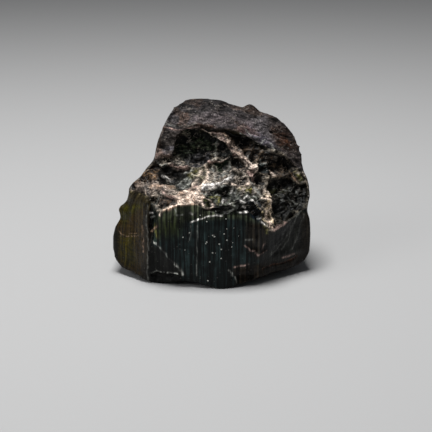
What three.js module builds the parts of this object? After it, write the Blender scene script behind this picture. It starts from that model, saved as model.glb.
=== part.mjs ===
// A rough tourmaline, about 31 mm wide: the stub of a dark prism, broken across and crusted over its top.
// Millimetres, +X right, +Y back, +Z up. It stands on a flat patch at z = 0, under the middle of its box.
//
// The stone is one closed skin over named feature lines: edges, ledges, lips and cracks.
// 1. FRONT lines are read on an upright sheet that leans back with the line of sight: across, up, depth.
// 2. SIDES and BASE lines are plain x, depth, z, with depth measured back from the foremost point.
// 3. The lines' points are joined by the convex hull of the directions they are seen in from inside.
// 4. Long edges are halved, and small relief is added: ribs on the prism, chips in the break, lumps above.
import * as THREE from "three";
import { ConvexHull } from "three/addons/math/ConvexHull.js";
import { ImprovedNoise } from "three/addons/math/ImprovedNoise.js";

// Driving dimensions
const SHEET_LEAN = THREE.MathUtils.degToRad(18);
const SHEET_CENTRE = new THREE.Vector3(0.72, 0, 8.03);
const SHEET_CENTRE_UP = 11.76;
const SHEET_MIDDLE = [0, 13];
const EYE_DISTANCE = 192;
const FOREMOST_Y = -11.5;
const INSIDE = new THREE.Vector3(0, 3.5, 10);
const AHEAD = new THREE.Vector3(0, -1, 0);
const LINE_STEP = 1.1;
const LONGEST_EDGE = 1.85;
const BASE_SNAP = 0.2;
const WEAR = 0.08;
const CRUST_WEAR = 0.4;
const WEAR_PASSES = 2;
const RIB_HEIGHT = 0.09;
const CHIP_HEIGHT = 0.34;
const LUMP_HEIGHT = 0.3;
const LOWEST_RELIEF = 0.02;
const RIM_SLACK = 0.005;

// The rim that the stone shows against what is behind it: across, up, depth
const RIM = [
  [-4.6, 30.3, 17.8], [-3.4, 30.6, 18.5], [-1.0, 30.6, 19.0], [1.7, 30.3, 19.0], [3.4, 29.6, 18.8],
  [5.0, 29.1, 18.6], [5.5, 29.5, 18.4], [6.2, 29.8, 18.4], [7.0, 29.5, 18.4], [7.8, 28.6, 18.4],
  [9.0, 28.3, 18.4], [10.5, 27.6, 18.3], [11.8, 26.6, 18.0], [12.9, 25.5, 17.6], [13.5, 24.4, 17.0],
  [13.7, 23.8, 16.4], [14.3, 23.0, 15.4], [14.6, 21.8, 14.5], [14.5, 20.4, 13.5], [14.6, 19.1, 12.5],
  [15.3, 18.2, 11.2], [15.8, 16.6, 10.2], [15.8, 15.0, 9.6], [15.4, 13.4, 9.0], [15.3, 12.5, 8.6],
  [15.7, 11.4, 8.2], [15.9, 9.8, 8.0], [15.9, 7.9, 8.0], [15.8, 6.0, 8.0], [15.1, 4.6, 7.6],
  [13.8, 3.8, 6.8], [12.1, 3.2, 5.3], [9.7, 2.6, 3.6], [8.1, 2.0, 2.4], [6.2, 1.3, 1.2],
  [4.1, 0.6, 0.4], [2.0, 0.0, 0.0], [0.7, -0.1, 0.0], [-0.7, 0.5, 0.15], [-2.3, 1.0, 0.5],
  [-4.1, 1.3, 1.2], [-6.3, 1.2, 1.6], [-7.9, 1.0, 2.2], [-9.5, 1.0, 2.6], [-11.3, 1.8, 3.2],
  [-13.0, 2.9, 4.8], [-14.5, 3.5, 6.3], [-15.4, 4.7, 7.2], [-15.8, 6.3, 7.5], [-15.8, 8.4, 7.5],
  [-15.4, 10.1, 7.4], [-14.6, 11.1, 7.4], [-14.5, 12.2, 7.4], [-14.9, 12.8, 7.6], [-14.6, 13.4, 7.6],
  [-13.7, 13.8, 7.8], [-13.3, 15.0, 8.4], [-13.2, 16.2, 9.0], [-12.6, 17.1, 9.6], [-11.4, 18.0, 10.0],
  [-10.5, 19.3, 10.6], [-9.2, 20.8, 11.4], [-9.0, 22.0, 11.9], [-8.7, 23.4, 12.4], [-8.2, 25.2, 13.2],
  [-7.7, 26.3, 13.6], [-7.0, 27.8, 14.5], [-6.2, 29.2, 15.5], [-4.6, 30.3, 17.8],
];

// Front of the prism: its flat striated face, the rib strip and the left face, from top to bottom
const PRISM_FRONT = {
  faceTopEdge: [
    [-8.7, 12.7, 1.6], [-7.8, 12.9, 1.3], [-5.8, 13.4, 1.0], [-3.9, 13.5, 0.9], [-2.0, 13.7, 0.9],
    [-0.7, 12.9, 0.7], [0.4, 13.4, 0.9], [1.7, 13.7, 1.0], [3.3, 13.8, 1.1], [5.0, 14.0, 1.2],
    [6.2, 14.2, 1.4], [7.4, 13.7, 1.6], [8.1, 12.7, 1.7], [8.4, 11.4, 1.8], [8.1, 10.2, 1.6],
    [9.0, 9.5, 2.2],
  ],
  crackAbove: [
    [-3.0, 11.4, 1.05], [-2.0, 11.5, 0.95], [-1.2, 12.0, 0.85], [1.5, 12.2, 0.75], [3.1, 12.2, 0.8],
  ],
  crackBelow: [
    [-3.0, 11.0, 0.75], [-2.0, 11.2, 0.6], [-1.2, 11.6, 0.5], [1.4, 11.8, 0.35], [3.0, 11.8, 0.45],
  ],
  faceUpperLeft: [[-7.8, 11.8, 1.25], [-6.6, 12.2, 1.15], [-5.4, 12.0, 1.05], [-4.1, 12.1, 1.0]],
  rib1: [[-6.5, 10.5, 1.1], [-6.3, 8.4, 1.0], [-6.2, 6.3, 0.9]],
  rib2: [[-4.4, 10.6, 0.85], [-4.4, 7.9, 0.8], [-4.2, 5.4, 0.7], [-3.6, 3.0, 0.65]],
  streakLeft: [[-3.0, 10.2, 0.75], [-3.0, 2.2, 0.62]],
  streak: [[-2.3, 10.6, 0.4], [-2.3, 2.0, 0.32]],
  streakRight: [[-1.7, 10.5, 0.6], [-1.7, 1.5, 0.38]],
  rib3: [[-0.4, 10.5, 0.4], [-0.4, 2.8, 0.2]],
  rib4: [[1.2, 10.5, 0.25], [1.2, 1.2, 0.05]],
  rib5: [[3.1, 10.8, 0.4], [3.1, 5.7, 0.3], [2.6, 4.1, 0.25], [2.3, 1.8, 0.15]],
  rib6: [[4.7, 11.4, 0.65], [4.7, 6.0, 0.6], [4.9, 4.6, 0.65]],
  rib7: [[6.3, 10.3, 1.0], [6.5, 9.0, 0.95]],
  rib8: [[7.8, 9.6, 1.4], [7.8, 8.6, 1.5]],
  rubbedNotch: [[6.8, 13.5, 2.4], [7.3, 12.7, 2.5], [7.1, 11.6, 2.2]],
  patchEdge: [
    [7.3, 7.8, 1.0], [6.3, 8.0, 0.8], [5.4, 8.0, 0.6], [5.4, 7.0, 0.65], [6.0, 6.5, 0.8],
    [6.6, 6.2, 0.9], [7.4, 5.8, 1.1], [8.1, 5.4, 1.5],
  ],
  patchFloor: [[6.0, 7.4, 1.2], [6.8, 7.0, 1.45], [7.8, 6.6, 1.8]],
  chipEdge: [
    [3.9, 1.0, 0.6], [3.3, 2.2, 0.5], [2.8, 3.0, 0.4], [3.4, 3.5, 0.5], [4.7, 3.8, 0.8],
    [6.2, 4.2, 1.0], [8.1, 4.3, 1.8],
  ],
  chipFloor: [[4.4, 2.5, 1.5], [5.7, 3.0, 1.9], [7.1, 3.4, 2.3]],
  chipFoot: [[5.2, 1.9, 1.5], [6.4, 2.2, 1.9]],
  grooveLeft: [[-9.7, 13.8, 3.3], [-9.5, 12.4, 3.2], [-9.7, 11.0, 3.2], [-9.5, 8.2, 2.8]],
  frontLeftEdge: [
    [-8.2, 12.4, 1.4], [-8.7, 11.3, 1.7], [-8.6, 10.0, 1.7], [-9.2, 8.9, 2.0], [-9.0, 7.4, 1.9],
  ],
  ribStrip: [[-10.3, 14.2, 2.7], [-10.3, 10.5, 2.4], [-10.2, 6.0, 2.3], [-9.8, 1.7, 2.5]],
  ribStripLeft: [[-11.0, 13.8, 3.6], [-11.0, 9.5, 3.1], [-11.0, 4.7, 3.1], [-11.0, 2.6, 3.3]],
  leftFaceA: [[-12.2, 13.0, 5.0], [-12.2, 7.9, 4.6], [-12.4, 3.4, 4.8]],
  leftFaceB: [[-13.5, 12.1, 6.1], [-13.5, 7.4, 5.7], [-13.4, 3.8, 5.9]],
  leftFaceC: [[-14.8, 9.2, 6.9], [-14.8, 7.0, 6.8], [-14.6, 5.0, 6.7]],
  lowerLeftEdge: [[-9.0, 7.4, 1.9], [-8.2, 6.6, 1.5], [-6.6, 5.0, 1.0], [-5.0, 3.4, 0.7], [-4.6, 2.3, 0.8]],
  lowerLeftFacet: [[-8.9, 5.4, 2.5], [-8.6, 4.1, 2.3], [-7.3, 3.8, 1.7], [-6.2, 3.5, 1.3]],
  lowerLeftShelf: [[-9.3, 2.9, 2.7], [-7.9, 2.8, 2.3], [-6.3, 2.6, 1.8], [-5.2, 2.8, 1.2]],
  lowerLeftUnder: [[-9.2, 2.2, 3.0], [-7.9, 2.2, 2.7], [-6.3, 2.1, 2.3], [-5.1, 1.9, 1.6]],
};

// The shell-shaped scoop at the right of the prism, and the seam under it
const SCOOP = {
  scoopLeft: [[10.0, 9.4, 3.2], [9.4, 7.9, 2.8], [8.9, 6.3, 2.4], [8.4, 5.0, 2.2], [8.1, 4.3, 1.8]],
  scoopTop: [[11.0, 10.0, 4.2], [12.1, 10.8, 5.2], [13.2, 11.6, 6.2], [14.3, 12.2, 7.2]],
  scoopA: [[10.8, 8.7, 4.7], [10.5, 7.1, 4.3], [9.8, 5.7, 3.7]],
  scoopB: [[12.1, 9.4, 5.7], [11.8, 7.4, 5.4], [11.3, 6.3, 4.9]],
  scoopC: [[13.2, 10.2, 6.6], [13.2, 8.2, 6.5], [12.9, 6.9, 6.1]],
  scoopD: [[14.5, 10.8, 7.4], [14.6, 8.7, 7.5], [14.5, 7.2, 7.3]],
  scoopFoot: [[8.7, 4.6, 2.7], [10.0, 5.1, 3.6], [11.6, 5.6, 4.7], [13.2, 6.0, 6.1], [14.6, 6.3, 7.2]],
  redSeam: [
    [8.4, 3.3, 2.8], [9.4, 3.7, 3.6], [10.6, 4.1, 4.5], [12.2, 4.6, 5.8], [13.8, 5.2, 7.0],
    [14.9, 5.7, 7.7],
  ],
};

// The break across the prism: a pale ledge, terraces above it, a dark recess and a ridge down its right
const BREAK = {
  redPatch: [[-8.2, 14.3, 3.0], [-7.0, 14.5, 3.0], [-5.8, 14.4, 2.6]],
  ringTop: [[-2.0, 14.5, 1.9], [-1.0, 14.6, 2.0], [-0.1, 14.2, 1.8]],
  ringFoot: [[-1.8, 13.8, 1.2], [-1.1, 13.2, 0.7]],
  paleLedgeBack: [
    [-9.7, 15.0, 3.6], [-8.2, 15.6, 4.4], [-6.6, 15.9, 4.6], [-5.0, 16.1, 4.2], [-3.4, 16.4, 4.2],
    [-1.8, 16.7, 4.4], [-0.7, 16.2, 3.8], [0.7, 16.4, 4.0], [2.3, 16.6, 4.2], [3.9, 16.4, 4.4],
    [5.5, 16.4, 4.6], [7.1, 16.1, 4.4], [8.1, 15.1, 3.9],
  ],
  terraceStep: [[0.7, 15.0, 2.7], [2.3, 14.8, 2.8], [3.9, 15.0, 3.1], [5.7, 14.9, 3.0], [7.3, 15.0, 3.2]],
  paleBandTop: [
    [-1.4, 17.5, 5.6], [0.6, 17.6, 5.6], [2.0, 17.8, 5.8], [3.1, 18.3, 6.3], [4.6, 17.7, 6.0],
    [6.0, 18.2, 6.8],
  ],
  midTerrace: [
    [-11.1, 17.0, 8.0], [-9.5, 17.2, 7.8], [-7.8, 17.4, 7.6], [-6.3, 17.5, 7.8], [-4.7, 18.0, 8.0],
    [-3.1, 18.5, 8.2], [-1.4, 19.0, 8.6], [0.1, 18.8, 8.2], [1.7, 18.8, 8.5], [3.3, 19.3, 9.2],
    [5.5, 19.2, 8.6],
  ],
  paleSpur: [[-0.7, 19.8, 9.8], [-0.9, 19.1, 8.6], [-1.2, 18.2, 7.0], [-1.8, 17.2, 5.5], [-2.6, 16.3, 4.2]],
  greenHollow: [[0.6, 19.9, 10.1], [1.5, 19.4, 9.6], [2.6, 20.2, 10.2]],
  brownHollow: [[3.6, 20.4, 10.3], [4.9, 20.0, 10.1], [6.0, 19.4, 9.6]],
  pocketHead: [[-8.2, 20.0, 10.2], [-7.0, 20.3, 10.4], [-5.5, 19.7, 10.2], [-3.9, 19.0, 9.4]],
  pocketFoot: [[-8.4, 18.2, 9.4], [-6.6, 18.0, 9.2], [-4.7, 18.4, 9.0]],
  blockFoot: [[-9.0, 20.3, 10.9], [-7.8, 20.9, 10.9], [-6.6, 21.3, 11.3], [-5.4, 21.3, 11.3]],
  recessLip: [
    [-5.8, 20.7, 10.7], [-4.4, 20.5, 10.5], [-3.1, 20.1, 10.1], [-1.8, 20.1, 10.1], [-0.7, 20.3, 10.1],
    [0.4, 20.5, 10.0], [1.5, 20.6, 10.0], [2.5, 20.9, 10.1], [3.4, 21.4, 10.2],
  ],
  recessFoot: [
    [-4.9, 21.4, 12.4], [-3.1, 20.9, 12.3], [-1.5, 21.0, 12.2], [0.1, 21.4, 12.1], [1.4, 21.9, 11.8],
    [2.4, 22.3, 11.4],
  ],
  recessLeft: [[-5.3, 22.0, 12.6], [-5.3, 23.4, 12.9], [-5.0, 24.4, 13.1]],
  recessRib: [[0.6, 21.7, 11.6], [0.8, 22.8, 11.9], [0.9, 23.7, 12.1]],
  recessHead: [
    [-4.2, 25.0, 13.2], [-3.0, 25.2, 13.2], [-1.7, 24.9, 13.1], [-0.4, 24.2, 12.8], [0.9, 23.6, 12.5],
    [1.5, 23.3, 12.1],
  ],
  blockRight: [[-5.7, 21.8, 11.7], [-5.8, 23.4, 12.1], [-5.6, 24.7, 12.4]],
  blockMiddle: [[-7.6, 22.0, 12.0], [-7.2, 24.0, 12.5]],
  rightRidge: [
    [1.6, 23.9, 11.0], [2.6, 23.4, 10.6], [3.6, 22.3, 10.2], [4.6, 21.4, 9.7], [5.5, 20.6, 9.2],
    [6.5, 19.8, 8.7], [7.1, 18.8, 8.1], [7.6, 17.5, 7.2], [8.2, 16.2, 6.1], [9.0, 15.0, 5.0],
    [9.5, 13.7, 4.2], [9.6, 12.4, 3.5], [9.2, 11.3, 3.0], [9.5, 10.2, 2.8], [10.0, 9.4, 3.2],
  ],
  rubbleUpper: [
    [8.4, 20.7, 11.2], [8.7, 19.4, 10.6], [10.2, 19.4, 11.6], [11.8, 19.0, 11.8], [13.2, 18.6, 12.2],
  ],
  rubbleLower: [
    [8.2, 17.8, 9.0], [9.4, 17.2, 9.2], [10.8, 17.2, 10.4], [12.6, 16.9, 10.6], [14.4, 17.2, 10.8],
  ],
  hollowMiddle: [[10.0, 15.9, 8.2], [11.8, 15.9, 9.4], [13.5, 15.4, 9.4]],
  hollowFoot: [[10.8, 13.2, 6.6], [12.2, 13.4, 7.8], [14.0, 13.8, 8.6]],
  shoulderTop: [[-11.3, 17.8, 9.8], [-10.2, 18.8, 10.4], [-9.4, 19.6, 10.8]],
  shoulderStep: [[-12.2, 16.6, 8.6], [-11.0, 16.9, 8.2]],
  shoulderFoot: [[-12.4, 15.6, 7.2], [-11.1, 15.8, 6.4], [-10.0, 15.9, 5.8]],
  prismShoulder: [[-13.2, 14.6, 7.3], [-12.4, 14.6, 6.0], [-11.3, 14.5, 4.5], [-10.3, 14.5, 3.4]],
};

// The crust that wraps the top: its hanging lip, the crevice under the lip and its rounded rows above
const CRUST = {
  lipLeft: [
    [-7.9, 25.4, 13.8], [-6.5, 25.5, 13.2], [-5.0, 25.5, 12.3], [-3.4, 25.7, 11.9], [-1.8, 25.6, 11.8],
  ],
  spurTop: [[-0.6, 25.0, 11.4], [0.7, 24.6, 11.1], [1.8, 24.4, 10.9]],
  crevice: [
    [-0.7, 25.7, 12.9], [0.6, 25.4, 13.0], [2.2, 24.9, 13.1], [3.8, 24.4, 13.3], [5.4, 23.6, 13.4],
    [7.0, 22.5, 13.2], [8.6, 21.8, 13.0], [10.2, 21.2, 12.9], [11.6, 20.5, 12.9], [12.9, 19.6, 13.0],
  ],
  lipRight: [
    [-1.0, 26.3, 12.4], [0.1, 26.0, 12.2], [2.0, 25.7, 12.2], [3.8, 25.3, 12.3], [5.5, 24.5, 12.2],
    [7.1, 23.4, 11.9], [8.7, 22.7, 11.8], [10.3, 22.0, 11.8], [11.9, 21.2, 12.0], [13.2, 20.2, 12.4],
  ],
  crustMiddle: [
    [-6.5, 27.0, 14.8], [-4.7, 27.6, 14.2], [-2.5, 28.1, 14.2], [0.1, 28.1, 14.4], [2.6, 27.4, 14.4],
    [5.0, 27.0, 14.6], [7.4, 26.0, 14.8], [9.4, 25.4, 15.0], [11.3, 24.2, 15.2], [12.6, 22.6, 14.4],
    [13.5, 21.2, 13.7],
  ],
  crustCrest: [
    [-6.0, 28.6, 16.0], [-4.4, 29.5, 16.6], [-1.8, 30.0, 17.4], [0.6, 30.0, 17.4], [3.0, 29.2, 17.6],
    [5.4, 28.6, 17.4], [7.8, 27.7, 17.4], [10.0, 26.8, 17.4], [12.0, 25.4, 17.2], [13.2, 23.6, 16.2],
    [14.0, 21.8, 14.8],
  ],
};

// Corners of the prism that face away, each from its foot to its top: x, depth, z
const SIDES = {
  rightCorner: [
    [14.4, 10.5, 2.2], [15.4, 11.5, 5], [15.5, 12, 9], [15.3, 12.8, 12.5], [14.8, 14, 16],
    [14, 15.6, 18.6],
  ],
  rightBackCorner: [
    [12.4, 16.2, 1.6], [14.2, 17, 4.5], [14.6, 17.4, 9], [14.2, 17.6, 13], [13.4, 18, 17], [12, 19, 20],
    [10.2, 19.6, 22],
  ],
  backRightCorner: [
    [8.2, 20.3, 1.4], [9.4, 21.8, 4], [9.8, 22.2, 9], [9.5, 22, 13.5], [8.9, 21.8, 17.5],
    [7.8, 21.6, 20.8], [6, 21, 23.4],
  ],
  backMiddle: [
    [0, 21.8, 1.4], [0.6, 23, 4], [0.8, 23.2, 9], [0.6, 23.1, 14], [0.6, 23, 18.5], [0.8, 22.6, 22],
    [1, 21.4, 24.4],
  ],
  backLeftCorner: [
    [-8, 20.5, 1.3], [-9, 21.6, 4], [-9.4, 22, 9], [-9, 21.8, 13], [-7.8, 21.6, 16.8],
    [-5.8, 21.4, 20.6], [-3.6, 20.8, 23.6],
  ],
  leftBackCorner: [
    [-12.6, 16.8, 1.6], [-14, 17.4, 4.5], [-14.4, 17.6, 9], [-13.4, 17.6, 12.5], [-11.2, 17.8, 16],
    [-8.7, 17.8, 19], [-6.6, 17.8, 22],
  ],
  leftCorner: [
    [-13.6, 11, 1.8], [-15.1, 12, 4.5], [-15.2, 12.4, 8], [-14.4, 12.6, 11.5], [-12.2, 13.2, 15],
    [-9.8, 13.9, 18.2], [-8.2, 14.7, 20.5],
  ],
  backChip: [[-5, 22.1, 15], [-2, 22, 13.4], [3, 22.1, 12.6], [6.4, 21.9, 14.6]],
};

// The patch that it stands on, all at z = 0: x, depth, z
const BASE = {
  contactRing: [
    [1.4, 1.7, 0], [4.6, 3.6, 0], [8.6, 7, 0], [11.4, 11.5, 0], [11, 15.5, 0], [7.5, 19.2, 0],
    [0, 20.4, 0], [-7.5, 19, 0], [-11, 16.3, 0], [-12, 12, 0], [-10.8, 7, 0], [-8.9, 3.1, 0],
    [-6.3, 3.8, 0], [-2.5, 3, 0], [0.2, 2.2, 0], [1.4, 1.7, 0],
  ],
  contactMiddle: [[-6, 11, 0], [6, 12, 0]],
};

const view = new THREE.Vector3(0, Math.cos(SHEET_LEAN), -Math.sin(SHEET_LEAN));
const sheetUp = new THREE.Vector3(0, Math.sin(SHEET_LEAN), Math.cos(SHEET_LEAN));
const eye = SHEET_CENTRE.clone().addScaledVector(view, -EYE_DISTANCE);

// Where the line of sight through a point of the sheet reaches the given depth.
function placeFromSheet(across, up, depth) {
  const ray = SHEET_CENTRE.clone();
  ray.x += across - SHEET_CENTRE.x;
  ray.addScaledVector(sheetUp, up - SHEET_CENTRE_UP).sub(eye);
  return eye.clone().addScaledVector(ray, (FOREMOST_Y + depth - eye.y) / ray.y);
}

// Where a place shows on the sheet: across and up.
function sheetFromPlace(place) {
  const ray = place.clone().sub(eye);
  const onSheet = ray.multiplyScalar(EYE_DISTANCE / ray.dot(view)).add(eye).sub(SHEET_CENTRE);
  return [onSheet.x + SHEET_CENTRE.x, onSheet.dot(sheetUp) + SHEET_CENTRE_UP];
}

function placeFromPlan(x, depth, z) {
  return new THREE.Vector3(x, FOREMOST_Y + depth, z);
}

// Where the sheet's line from its middle through (across, up) meets the rim, and how far along that is.
function reachRim(across, up) {
  const [x, y] = [across - SHEET_MIDDLE[0], up - SHEET_MIDDLE[1]];
  for (let i = 1; i < RIM.length; i++) {
    const [fromX, fromY] = [RIM[i - 1][0] - SHEET_MIDDLE[0], RIM[i - 1][1] - SHEET_MIDDLE[1]];
    const [alongX, alongY] = [RIM[i][0] - RIM[i - 1][0], RIM[i][1] - RIM[i - 1][1]];
    const cross = x * alongY - y * alongX;
    const reach = (fromX * alongY - fromY * alongX) / cross;
    const share = (fromX * y - fromY * x) / cross;
    if (reach > 0 && share >= 0 && share <= 1) {
      return { reach, rimPoint: RIM[i - 1].map((value, axis) => value + share * (RIM[i][axis] - value)) };
    }
  }
  return { reach: Infinity, rimPoint: RIM[0] };
}

// Moves a point that would show past the rim back to the rim, at its own depth.
function tuckBehindRim(point) {
  const { reach, rimPoint } = reachRim(...sheetFromPlace(point));
  if (reach < 1) point.copy(placeFromSheet(rimPoint[0], rimPoint[1], point.y - FOREMOST_Y));
}

// The direction that sorts a front point: turned from straight ahead towards its place on the rim.
// It ignores depth, so a lip may hang over the hollow under it.
function aimFromSheet(across, up) {
  const { reach, rimPoint } = reachRim(across, up);
  const rimAim = placeFromSheet(...rimPoint).sub(INSIDE).normalize();
  const turn = new THREE.Quaternion().setFromUnitVectors(AHEAD, rimAim);
  return AHEAD.clone().applyQuaternion(new THREE.Quaternion().slerp(turn, Math.min(1, 1 / reach)));
}

// A line's points at an even step, its own corners kept.
function resample(line) {
  const points = [];
  line.slice(1).forEach((end, i) => {
    const start = line[i];
    const length = Math.hypot(...end.map((value, axis) => value - start[axis]));
    const steps = Math.max(1, Math.round(length / LINE_STEP));
    for (let k = 0; k < steps; k++) {
      points.push(start.map((value, axis) => value + ((end[axis] - value) * k) / steps));
    }
  });
  points.push(line.at(-1));
  return points;
}

// Whether a point shows on the rim, or past it.
function showsOnRim(point) {
  return reachRim(...sheetFromPlace(point)).reach < 1 + RIM_SLACK;
}

// Each site is a point of the skin, with the direction that sorts it.
function collectSites() {
  const sites = [];
  const seen = new Set();
  const add = (point, aim) => {
    const key = aim.toArray().map((value) => value.toFixed(2)).join();
    if (seen.has(key)) return;
    seen.add(key);
    sites.push({ point, aim });
  };
  const aimFromInside = (point) => point.clone().sub(INSIDE).normalize();
  const rim = resample(RIM).map((spot) => placeFromSheet(...spot));
  for (const point of rim) add(point, aimFromInside(point));
  const away = [SIDES, BASE].flatMap((group) => Object.values(group)).flatMap(resample);
  for (const spot of away) {
    const point = placeFromPlan(...spot);
    if (point.z > 0) tuckBehindRim(point);
    add(point, aimFromInside(point));
  }
  const drawn = [PRISM_FRONT, SCOOP, BREAK, CRUST].flatMap((group) => Object.values(group));
  const front = drawn.flatMap(resample);
  for (const [across, up, depth] of front) add(placeFromSheet(across, up, depth), aimFromSheet(across, up));
  return sites;
}

// The hull of unit directions joins each point to its neighbours, which makes one closed skin.
function joinSites(sites) {
  const order = new Map(sites.map((site, i) => [site.aim, i]));
  const hull = new ConvexHull().setFromPoints(sites.map((site) => site.aim));
  return hull.faces.map((face) => {
    const corners = [];
    let edge = face.edge;
    do {
      corners.push(order.get(edge.head().point));
      edge = edge.next;
    } while (edge !== face.edge);
    return corners;
  });
}

// Halves every edge over the limit, again and again, and splits the triangles to suit.
function halveLongEdges(points, triangles) {
  for (;;) {
    const middles = new Map();
    const middle = (a, b) => {
      if (points[a].distanceTo(points[b]) <= LONGEST_EDGE) return -1;
      const key = a < b ? `${a},${b}` : `${b},${a}`;
      if (!middles.has(key)) {
        middles.set(key, points.length);
        points.push(points[a].clone().lerp(points[b], 0.5));
      }
      return middles.get(key);
    };
    const next = [];
    for (const [a, b, c] of triangles) {
      const cut = [middle(a, b), middle(b, c), middle(c, a)];
      const count = cut.filter((m) => m >= 0).length;
      if (count === 0) {
        next.push([a, b, c]);
        continue;
      }
      // Turns the triangle round until its uncut edges come last, or its one cut edge first.
      let corners = [a, b, c];
      while (!(cut[0] >= 0 && (count !== 2 || cut[1] >= 0))) {
        corners = [corners[1], corners[2], corners[0]];
        cut.push(cut.shift());
      }
      const [p, q, r] = corners;
      const [pq, qr, rp] = cut;
      if (count === 1) next.push([p, pq, r], [pq, q, r]);
      else if (count === 2) next.push([pq, q, qr], [p, pq, qr], [p, qr, r]);
      else next.push([p, pq, rp], [pq, q, qr], [rp, qr, r], [pq, qr, rp]);
    }
    triangles = next;
    if (middles.size === 0) return triangles;
  }
}

const noise = new ImprovedNoise();
const noiseAt = (p, size, seed) => noise.noise(p.x / size + seed, p.y / size + seed * 2.3, p.z / size - seed);
const ramp = THREE.MathUtils.smoothstep;

// How much of a point belongs to the crust that wraps the top and hangs down the back.
const crustShare = (p) => ramp(p.z + 0.8 * p.y + 0.4 * Math.max(p.x, 0), 21.6, 23);

// Moves each point towards the middle of its neighbours, most on the worn crust. The kept points stay.
function wearDown(points, triangles, kept) {
  const neighbours = points.map(() => new Set());
  for (const [a, b, c] of triangles) {
    neighbours[a].add(b).add(c);
    neighbours[b].add(c).add(a);
    neighbours[c].add(a).add(b);
  }
  const moved = points.map((p, i) => {
    const mean = new THREE.Vector3();
    for (const k of neighbours[i]) mean.addScaledVector(points[k], 1 / neighbours[i].size);
    return p.clone().lerp(mean, p.z === 0 || kept.has(i) ? 0 : WEAR + CRUST_WEAR * crustShare(p));
  });
  moved.forEach((p, i) => points[i].copy(p));
}

// How far a point of the skin stands out: lumps on the crust, chips in the break, ribs on the prism.
function relief(p) {
  const crust = crustShare(p);
  const broken = (1 - crust) * ramp(p.z, 12.6, 13.8) * (1 - ramp(p.y, 0, 3));
  const prism = (1 - crust) * (1 - broken);
  const lumps = noiseAt(p, 2.6, 4.1) + 0.5 * noiseAt(p, 1.3, 9.7);
  const chips = Math.abs(noiseAt(p, 1.7, 2.9)) * 2 - 0.5 + 0.6 * noiseAt(p, 0.9, 6.3);
  const turn = Math.atan2(p.x, -p.y);
  const ribs = Math.sin(turn * 31) + 0.6 * Math.sin(turn * 53 + 1);
  const awayFromFront = ramp(p.y, -6, -1);
  const onPrism = RIB_HEIGHT * prism * awayFromFront * ribs;
  return LUMP_HEIGHT * crust * lumps + CHIP_HEIGHT * broken * chips + onPrism;
}

function buildStone() {
  const sites = collectSites();
  const points = sites.map((site) => site.point);
  for (const p of points) if (p.z < BASE_SNAP) p.z = 0;
  const triangles = halveLongEdges(points, joinSites(sites));
  const rimPoints = new Set([...points.keys()].filter((i) => showsOnRim(points[i])));
  for (let pass = 0; pass < WEAR_PASSES; pass++) wearDown(points, triangles, rimPoints);

  const geometry = new THREE.BufferGeometry().setFromPoints(points);
  geometry.setIndex(triangles.flat());
  geometry.computeVertexNormals();
  const position = geometry.getAttribute("position");
  const normal = geometry.getAttribute("normal");
  points.forEach((p, i) => {
    if (p.z === 0) return;
    const height = rimPoints.has(i) ? 0 : relief(p);
    const moved = p.clone().addScaledVector(new THREE.Vector3().fromBufferAttribute(normal, i), height);
    tuckBehindRim(moved);
    position.setXYZ(i, moved.x, moved.y, Math.max(moved.z, LOWEST_RELIEF));
  });

  geometry.computeBoundingBox();
  const middle = geometry.boundingBox.getCenter(new THREE.Vector3());
  geometry.translate(-middle.x, -middle.y, 0);
  geometry.deleteAttribute("normal");
  return geometry;
}

const stone = new THREE.Mesh(
  buildStone(),
  new THREE.MeshStandardMaterial({ color: 0x3a3b36, roughness: 0.45, metalness: 0, flatShading: true }),
);
stone.name = "tourmaline";

const object = new THREE.Group();
object.name = "rough_tourmaline";
object.add(stone);

export default object;
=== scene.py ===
# %% [markdown]
# A rough tourmaline for Blender.
# The stone is a stub of one dark crystal. Its lower half is the crystal's own ribbed prism, near black and
# faintly green. Across the middle it broke, which left pale, rubbed ledges and dark glassy steps. Over the
# top lies a brown-grey weathered crust. The solid model already has the big forms. This file adds what the
# eye finds next: chips, cracks, ribs, pits and, above all, the colours and gloss of each kind of surface.

import math

import bmesh
import bpy
import numpy as np
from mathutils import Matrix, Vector


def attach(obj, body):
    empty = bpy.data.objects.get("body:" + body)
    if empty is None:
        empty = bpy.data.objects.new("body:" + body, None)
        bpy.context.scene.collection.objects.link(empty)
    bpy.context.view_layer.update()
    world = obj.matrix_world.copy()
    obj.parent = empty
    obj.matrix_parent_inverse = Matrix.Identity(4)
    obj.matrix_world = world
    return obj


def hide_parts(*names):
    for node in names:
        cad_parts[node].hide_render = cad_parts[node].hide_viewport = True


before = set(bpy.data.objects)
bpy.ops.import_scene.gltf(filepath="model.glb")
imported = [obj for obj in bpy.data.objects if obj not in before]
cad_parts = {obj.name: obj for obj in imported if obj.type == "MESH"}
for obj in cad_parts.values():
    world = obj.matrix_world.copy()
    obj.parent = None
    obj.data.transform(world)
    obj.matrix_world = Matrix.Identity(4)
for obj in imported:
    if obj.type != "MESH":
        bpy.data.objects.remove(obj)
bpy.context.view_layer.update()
stone_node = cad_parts["tourmaline"]
MM = 0.001


def add_object(name, data):
    """Puts a new object into the scene."""
    made = bpy.data.objects.new(name, data)
    bpy.context.scene.collection.objects.link(made)
    return made


# %% [markdown]
# The camera comes first, because the marks on the front of the stone are placed by where the picture shows
# them. It looks along +Y from 18 degrees above, with a 100 mm lens, from 192 mm away. The picture is
# 432 by 432, so one pixel is 0.16 mm at the middle of the stone.

# %% Camera
PICTURE_SIDE = 432
LENS, SENSOR = 100.0, 36.0
ELEVATION = math.radians(18)
EYE_DISTANCE = 192.0
TARGET = np.array([0.66, -0.14, 8.03])
MM_PER_PIXEL = EYE_DISTANCE * SENSOR / LENS / PICTURE_SIDE
ahead = np.array([0, math.cos(ELEVATION), -math.sin(ELEVATION)])
picture_up = np.array([0, math.sin(ELEVATION), math.cos(ELEVATION)])
eye = TARGET - ahead * EYE_DISTANCE

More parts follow.
